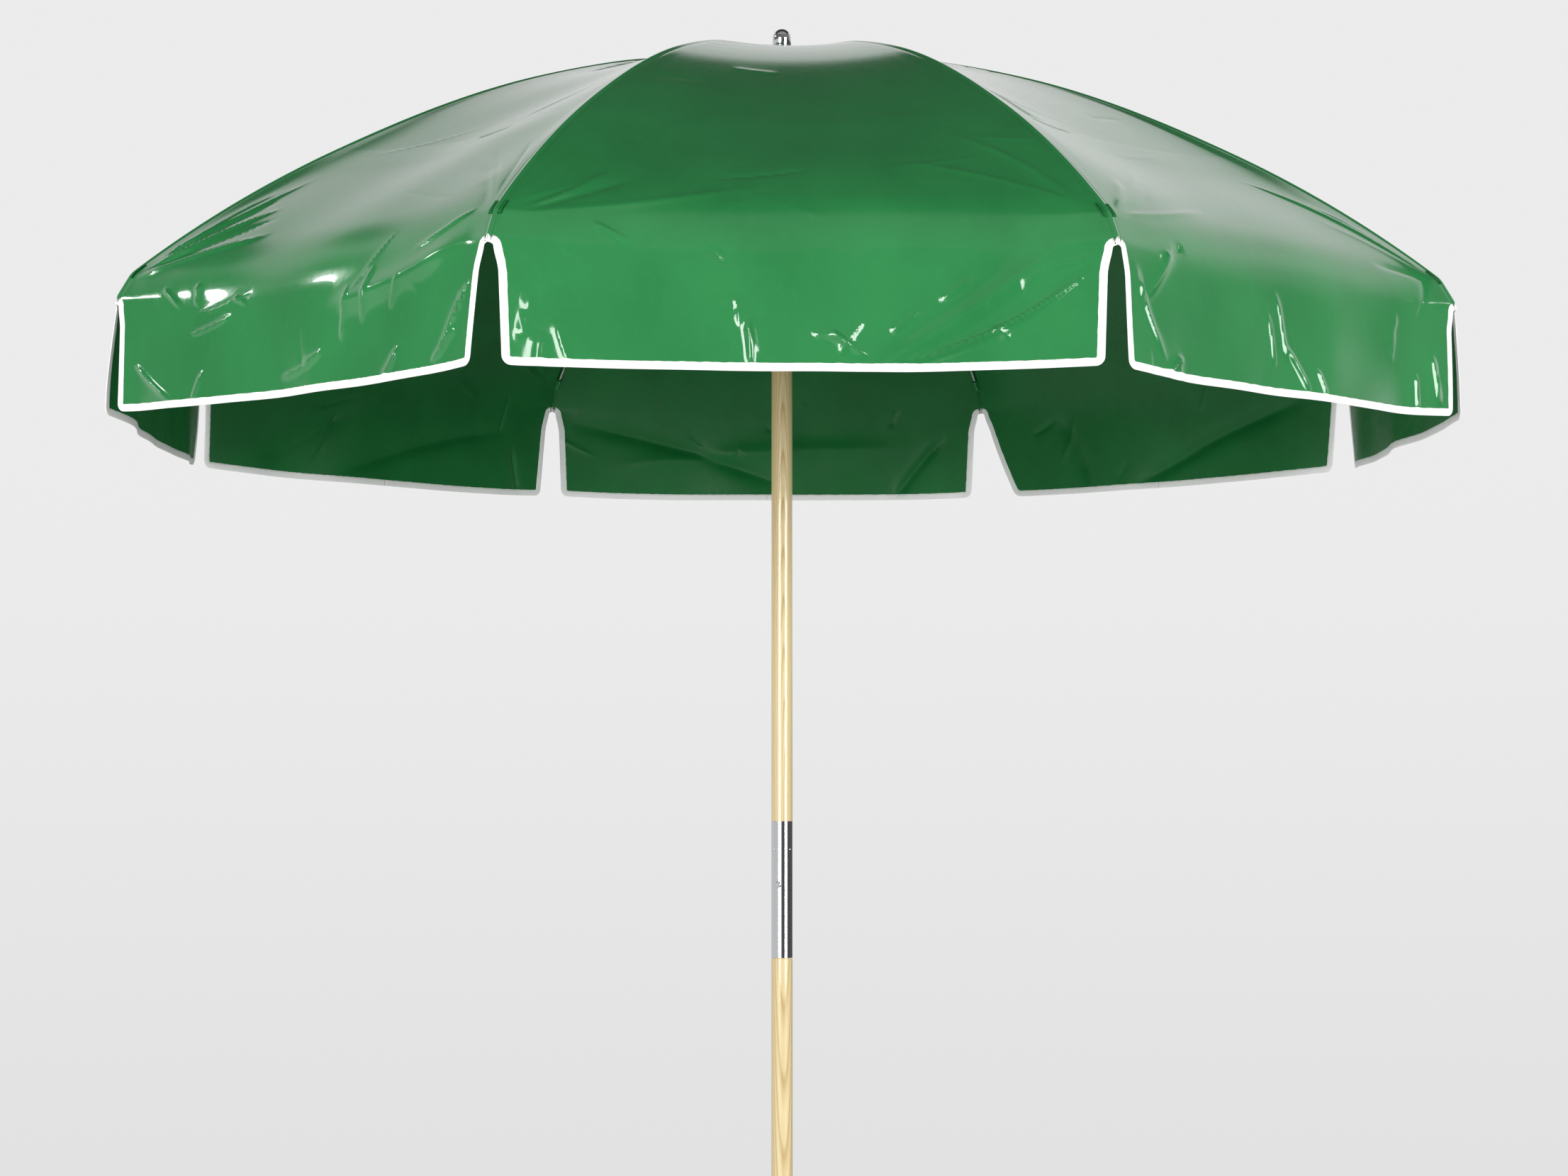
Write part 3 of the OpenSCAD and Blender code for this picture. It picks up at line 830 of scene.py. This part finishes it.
def binding(i, side):
    """White tape folded over the edge of one half flap, from the rib round to the panel's middle."""
    g, sign = panel_side(i, side)
    first = int(np.argmin(np.abs(FLAP_DOWN - NOTCH_BELOW_LIP)))
    splay = SPLAYED.get((i, side), 0.0)
    d1, b1 = flap_place(FLAP_ROWS[first:], np.zeros(len(FLAP_ROWS) - first), splay)
    d2, b2 = flap_place(np.ones(len(FLAP_SHARES) - 1), FLAP_SHARES[1:], splay)
    d, b = np.concatenate([d1, d2]), np.concatenate([b1, b2])
    run = np.concatenate([[0], np.cumsum(np.hypot(np.diff(d), np.diff(b)))])
    td, tb = np.gradient(d, run), np.gradient(b, run)
    td[0], tb[0], td[-1], tb[-1] = 1, 0, 1, 0
    size = np.hypot(td, tb)
    in_d, in_b = tb / size, -td / size
    rng = np.random.default_rng(500 + 2 * i + (side > 0))
    ease = smooth(run, 0, 20 * MM) * smooth(run[-1] - run, 0, 20 * MM)
    pucker = sum(
        0.12 * MM * np.sin(2 * math.pi * run / (rng.uniform(9, 40) * MM) + rng.uniform(0, 6.3))
        for _ in range(4)
    ) * ease
    q = TAPE_SECTION[None, :, 0] + pucker[:, None] * (TAPE_SECTION[None, :, 0] > 2 * MM)
    h = np.repeat(TAPE_SECTION[None, :, 1], len(run), 0)
    dd = d[:, None] + q * in_d[:, None]
    bb = b[:, None] + q * in_b[:, None]
    a = sign * (half_width(bb) - dd)
    points, normals = cloth_and_normals(g, a, bb)
    rings = points + normals * h[..., None]
    places = np.stack([np.repeat(run[:, None], q.shape[1], 1), q, h], axis=-1)
    if side > 0:
        rings, places = rings[:, ::-1], places[:, ::-1]
    word = "left" if side < 0 else "right"
    return tube(f"binding_{i}_{word}", rings, TAPE, places.reshape(-1, 3))


def valance(i, side):
    """Half a flap with its binding, hanging from the roof's lip at rib i."""
    cloth, tape = flap(i, side), binding(i, side)
    for piece, finish in ((cloth, "green_vinyl"), (tape, "white_binding")):
        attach(piece, f"valance_{i}")
        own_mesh(piece)
    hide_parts(f"valance_{i}")


# ---------------------------------------------------------------------------------------------------
# Pockets on the rib ends, patch at the peak, finial

TIP_POCKET = 26 * MM
POCKET_HALF = 10 * MM
POCKET_EDGE = 1.3 * MM


def pocket(i):
    """A folded patch of vinyl under the seam, which holds the end of the sleeve on rib i."""
    out, across = (np.array(v) for v in rib_frame(i))
    tip_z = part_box(f"rib_tip_{i}")[0].z
    tip_end = float(np.interp(-(tip_z + ROD_DEPTH), -RIB_Z, B_TABLE)) + 5 * MM
    start = tip_end - TIP_POCKET
    u, v = np.meshgrid(np.linspace(0, 1, 26), np.linspace(-1, 1, 27), indexing="ij")
    b = start + u * (TIP_POCKET + 7 * MM)
    r = np.interp(b, B_TABLE, RIB_R)
    z = np.interp(b, B_TABLE, RIB_Z)
    slope = np.interp(b, B_TABLE, rib_slopes)
    closed = 1 - smooth(u, 0.72, 1.0)
    flare = 1 + 0.10 * (1 - u) * np.cos(2 * v)
    bulge = np.sqrt(np.clip(1 - (np.abs(v) / 0.62) ** 2.4, 0, 1))
    depth = POCKET_EDGE + (ROD_DEPTH + 4.4 * MM - POCKET_EDGE) * bulge * closed * flare
    depth = depth + 0.3 * MM * np.sin(9 * u + 4 * v) * bulge
    wide = POCKET_HALF * v * (0.62 + 0.38 * np.abs(v) ** 2)
    normal = np.sin(slope)[..., None] * out + np.cos(slope)[..., None] * np.array([0, 0, 1.0])
    points = r[..., None] * out + z[..., None] * np.array([0, 0, 1.0]) - depth[..., None] * normal
    points = points + wide[..., None] * across
    du, dv = np.gradient(points, axis=0), np.gradient(points, axis=1)
    face = np.cross(du, dv)
    face = face / np.linalg.norm(face, axis=-1, keepdims=True)
    places = np.stack([wide, b, np.abs(wide) - 2 * MM], axis=-1)
    piece = shell(f"rib_pocket_{i}", points, face, places, PATCH_CLOTH, VINYL[::-1])
    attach(piece, f"rib_{i}")
    return piece


PATCH_R = 38.5 * MM
PATCH_GATHERS = 24
STUD_HOLE_R = 5.5 * MM


def top_patch():
    """Round patch over the peak, gathered where it is sewn down."""
    r = np.concatenate([[STUD_HOLE_R], np.linspace(9 * MM, PATCH_R, 24)])
    turns = np.linspace(0, 2 * math.pi, 145)
    radius, turn = np.meshgrid(r, turns, indexing="ij")
    crown_z = PATCH_TOP - 0.2 * MM
    drop_z = crown_z - (top_z + 0.9 * MM)
    share = smooth(radius, POLE_R + 0.5 * MM, 38 * MM)
    z = crown_z - drop_z * share
    z = z + 0.55 * MM * np.sin(PATCH_GATHERS * turn) * share * (1 - share) * 2
    edge = radius * (1 + 0.012 * np.cos(PATCH_GATHERS * turn) * share)
    points = np.stack([edge * np.cos(turn), edge * np.sin(turn), z], axis=-1)
    index = np.arange(points.shape[0] * (points.shape[1] - 1)).reshape(points.shape[0], -1)
    verts = points[:, :-1].reshape(-1, 3)
    lower = verts - np.array([0, 0, PATCH_CLOTH])
    ahead = np.roll(index, -1, axis=1)
    count = len(verts)
    quads = np.stack([index[:-1], index[1:], ahead[1:], ahead[:-1]], axis=-1).reshape(-1, 4)
    rims = [
        np.stack([index[-1], index[-1] + count, ahead[-1] + count, ahead[-1]], axis=-1),
        np.stack([ahead[0], ahead[0] + count, index[0] + count, index[0]], axis=-1),
    ]
    faces = np.concatenate([quads, quads[:, ::-1] + count, *rims])
    places = np.stack([edge * turn, radius, 41 * MM - radius], axis=-1)[:, :-1].reshape(-1, 3)
    piece = make_object(
        "peak_patch",
        np.concatenate([verts, lower]),
        faces.tolist(),
        VINYL[:1],
        places=np.concatenate([places, places]),
    )
    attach(piece, "upper_pole")
    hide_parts("top_patch")


BULLET_R = 16 * MM
GROOVE = 0.5 * MM


def finial():
    """Chrome bullet with a flared skirt and a fine groove above it."""
    low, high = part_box("finial")
    skirt = high.x
    flare = skirt - BULLET_R
    outline = [(0, low.z + 0.2 * MM), (skirt - 1.2 * MM, low.z + 0.2 * MM)]
    outline += [
        (skirt - 1.0 * MM + 0.9 * MM * math.sin(t), low.z + 1.1 * MM - 0.9 * MM * math.cos(t))
        for t in np.linspace(0, math.pi * 0.75, 8)
    ]
    base = low.z + 1.9 * MM
    outline += [
        (
            skirt - 0.7 * MM - (flare - 0.7 * MM) * math.sin(t),
            base + (flare - 1.5 * MM) * (1 - math.cos(t)),
        )
        for t in np.linspace(0.12, math.pi / 2, 14)
    ]
    groove = base + flare
    outline += [(BULLET_R, groove), (BULLET_R - GROOVE, groove + GROOVE), (BULLET_R, groove + 2 * GROOVE)]
    dome = high.z - BULLET_R
    outline += [
        (BULLET_R * math.cos(t), dome + BULLET_R * math.sin(t))
        for t in np.linspace(0, math.pi / 2, 26)[:-1]
    ]
    outline.append((0, high.z))
    piece = lathe("finial_cap", outline, [CHROME])
    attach(piece, "upper_pole")
    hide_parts("finial")


for i in range(1, RIBS + 1):
    sector = roof(i)
    for side in (-1, 1):
        valance(i, side)
    end_pocket = pocket(i)
top_patch()
finial()

# ---------------------------------------------------------------------------------------------------
# Floor, light and camera

FLOOR_R = 3.0


def floor():
    """A pale round floor that fades out at its edge and can't be seen from below."""
    s = Shader("floor")
    x, y, _ = s.split(s.object_place())
    radius = s.math("SQRT", s.math("ADD", s.math("MULTIPLY", x, x), s.math("MULTIPLY", y, y)))
    fade = s.node("ShaderNodeMapRange", {0: radius, 1: 0.9, 2: FLOOR_R - 0.1, 3: 1.0, 4: 0.0},
                  interpolation_type="SMOOTHSTEP").outputs[0]
    backface = s.node("ShaderNodeNewGeometry").outputs["Backfacing"]
    speck = s.noise(s.object_place(), 130.0, 3.0)
    s.set(
        Base_Color=s.mix(speck, (0.70, 0.70, 0.70), (0.74, 0.74, 0.74)),
        Roughness=0.75,
        Alpha=s.math("MULTIPLY", fade, s.math("SUBTRACT", 1.0, backface)),
    )
    turns = np.linspace(0, 2 * math.pi, 96, endpoint=False)
    radii = np.linspace(0.3, FLOOR_R, 10)
    verts = [(r * math.cos(t), r * math.sin(t), 0) for r in radii for t in turns]
    index = np.arange(len(verts)).reshape(len(radii), len(turns))
    ahead = np.roll(index, -1, axis=1)
    faces = np.stack([index[:-1], index[1:], ahead[1:], ahead[:-1]], axis=-1).reshape(-1, 4).tolist()
    faces.append(index[0].tolist())
    make_object("floor", verts, faces, [s.material])


# The ceiling fades in between two sines of elevation, which are higher on the left by LEFT_RISE.
# The other values are strengths of light
CEILING_LOW = math.sin(math.radians(36))
CEILING_HIGH = math.sin(math.radians(41))
CEILING_BACK = 0.04
CEILING_FRONT = 0.30
LEFT_RISE = 0.02
WALL_LEFT = 0.64
WALL_RIGHT = 0.76
LEFT_LIGHT = 0.14
RIGHT_LIGHT = 0.18
FLOOR_LEFT = 0.60
FLOOR_RIGHT = 0.08
BACKDROP_HIGH = 0.835
BACKDROP_LOW = 0.755


def studio_world():
    """A pale backdrop for the camera, and for the light a bright wall behind under a darker ceiling."""
    world = bpy.data.worlds.new("studio")
    bpy.context.scene.world = world
    world.use_nodes = True
    tree = world.node_tree
    nodes, links = tree.nodes, tree.links
    nodes.clear()

    def calc(operation, a, b=0.0):
        made = nodes.new("ShaderNodeMath")
        made.operation = operation
        for socket, value in zip(made.inputs, (a, b)):
            if isinstance(value, bpy.types.NodeSocket):
                links.new(value, socket)
            else:
                socket.default_value = value
        return made.outputs[0]

    def step(value, low, high):
        made = nodes.new("ShaderNodeMapRange")
        made.interpolation_type = "SMOOTHSTEP"
        links.new(value, made.inputs[0])
        made.inputs[1].default_value = low
        made.inputs[2].default_value = high
        return made.outputs[0]

    def blend(share, first, second):
        return calc("ADD", first, calc("MULTIPLY", share, calc("SUBTRACT", second, first)))

    direction = nodes.new("ShaderNodeTexCoord").outputs["Generated"]
    split = nodes.new("ShaderNodeSeparateXYZ")
    links.new(direction, split.inputs[0])
    x, y, z = split.outputs
    to_right = step(x, -0.12, 0.0)
    sides = blend(to_right, LEFT_LIGHT, RIGHT_LIGHT)
    wall = blend(step(x, -0.3, 0.0), WALL_LEFT, WALL_RIGHT)
    room = blend(step(y, 0.22, 0.45), sides, wall)
    floor_light = blend(to_right, FLOOR_LEFT, FLOOR_RIGHT)
    light = blend(step(z, -0.02, 0.10), floor_light, room)
    ceiling = blend(step(y, -0.25, 0.0), CEILING_FRONT, CEILING_BACK)
    raised = calc("SUBTRACT", z, blend(step(x, -0.35, -0.05), LEFT_RISE, 0.0))
    light = blend(step(raised, CEILING_LOW, CEILING_HIGH), light, ceiling)
    seen = blend(step(z, -0.16, 0.10), BACKDROP_LOW, BACKDROP_HIGH)
    camera_ray = nodes.new("ShaderNodeLightPath").outputs["Is Camera Ray"]
    lit, shown = nodes.new("ShaderNodeBackground"), nodes.new("ShaderNodeBackground")
    links.new(light, lit.inputs["Strength"])
    links.new(seen, shown.inputs["Strength"])
    lit.inputs["Color"].default_value = (1, 1, 1, 1)
    shown.inputs["Color"].default_value = (1, 1, 1, 1)
    mix = nodes.new("ShaderNodeMixShader")
    links.new(camera_ray, mix.inputs[0])
    links.new(lit.outputs[0], mix.inputs[1])
    links.new(shown.outputs[0], mix.inputs[2])
    links.new(mix.outputs[0], nodes.new("ShaderNodeOutputWorld").inputs[0])


def softbox(name, azimuth, distance, height, size, radiance, tilt=0.0, glossy=True):
    """A rectangular area light of a given radiance, facing the pole and tilted down."""
    light = bpy.data.lights.new(name, "AREA")
    light.shape = "RECTANGLE"
    light.size, light.size_y = size
    light.energy = radiance * math.pi * size[0] * size[1]
    obj = bpy.data.objects.new(name, light)
    bpy.context.scene.collection.objects.link(obj)
    turn = math.radians(azimuth)
    obj.location = (distance * math.cos(turn), distance * math.sin(turn), height)
    obj.rotation_euler = (math.pi / 2 - math.radians(tilt), 0, turn + math.pi / 2)
    obj.visible_camera = False
    obj.visible_glossy = glossy


EYE = (-0.160, -5.564, 1.147)
EYE_RISE = math.radians(3.3)
EYE_AIM = math.atan2(-EYE[0], -EYE[1]) + 0.00065


def camera():
    """The view from a few steps away, a little below the canopy and tilted up to it."""
    data = bpy.data.cameras.new("camera")
    data.lens = 74.6
    data.sensor_width = 36
    obj = bpy.data.objects.new("camera", data)
    bpy.context.scene.collection.objects.link(obj)
    obj.location = EYE
    obj.rotation_euler = (math.pi / 2 + EYE_RISE, 0, -EYE_AIM)
    bpy.context.scene.camera = obj


floor()
studio_world()
softbox("key_left", -117, 6.0, 1.9, (2.4, 3.0), 10)
softbox("key_right", -47, 6.0, 1.9, (2.4, 3.0), 10)
softbox("high_left", 178, 5.6, 4.4, (0.5, 0.6), 15, tilt=25)
softbox("high_right", 3, 5.6, 4.4, (0.4, 0.3), 4, tilt=25)
softbox("fill_left", -165, 6.0, 2.0, (2.0, 2.4), 4, glossy=False)
softbox("fill_right", -5, 6.0, 2.0, (2.0, 2.4), 6, glossy=False)
camera()
bpy.context.scene.view_settings.view_transform = "Standard"
